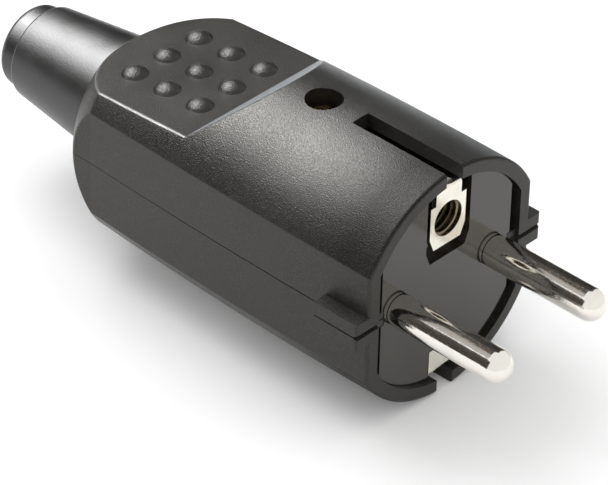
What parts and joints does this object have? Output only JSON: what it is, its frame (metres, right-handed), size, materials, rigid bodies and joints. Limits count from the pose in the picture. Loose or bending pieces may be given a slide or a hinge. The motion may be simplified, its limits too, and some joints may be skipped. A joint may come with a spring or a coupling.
{
  "type": "mains plug",
  "caption": "Straight rewirable mains plug: split black rubber housing with bumped thumb pads, round pins, an earth socket with side earth contacts, and a tapered cable boot.",
  "frame": {"origin": "on the plug's axis, in the plane of the housing's front rim", "axes": "+X across the pins, +Y along the axis from the pins to the cable boot, +Z towards the earth socket"},
  "size_m": [0.0368, 0.1003, 0.0364],
  "materials": {
    "housing_rubber": "fine-grained matte black rubber, smoother on the flats",
    "boot_rubber": "smooth satin black rubber",
    "block_plastic": "smooth black moulded plastic with a sheen",
    "pin_nickel": "bright nickel plate on turned brass",
    "earth_nickel": "bright nickel plate on folded brass sheet",
    "terminal_steel": "zinc plated steel",
    "screw_brass": "yellow passivated screw"
  },
  "bodies": {
    "root": {"upper_shell": "housing_rubber", "lower_shell": "housing_rubber", "contact_block": "block_plastic", "live_pin": "pin_nickel", "neutral_pin": "pin_nickel", "live_terminal_screw": "terminal_steel", "neutral_terminal_screw": "terminal_steel", "earth_strap": "earth_nickel", "earth_sleeve": "earth_nickel", "earth_clamp_plate": "terminal_steel", "earth_terminal_screw": "terminal_steel", "housing_screw": "screw_brass", "housing_nut": "terminal_steel", "cord_clamp": "block_plastic", "cord_clamp_screw_left": "terminal_steel", "cord_clamp_screw_right": "terminal_steel", "cable_boot": "boot_rubber"}
  },
  "joints": []
}
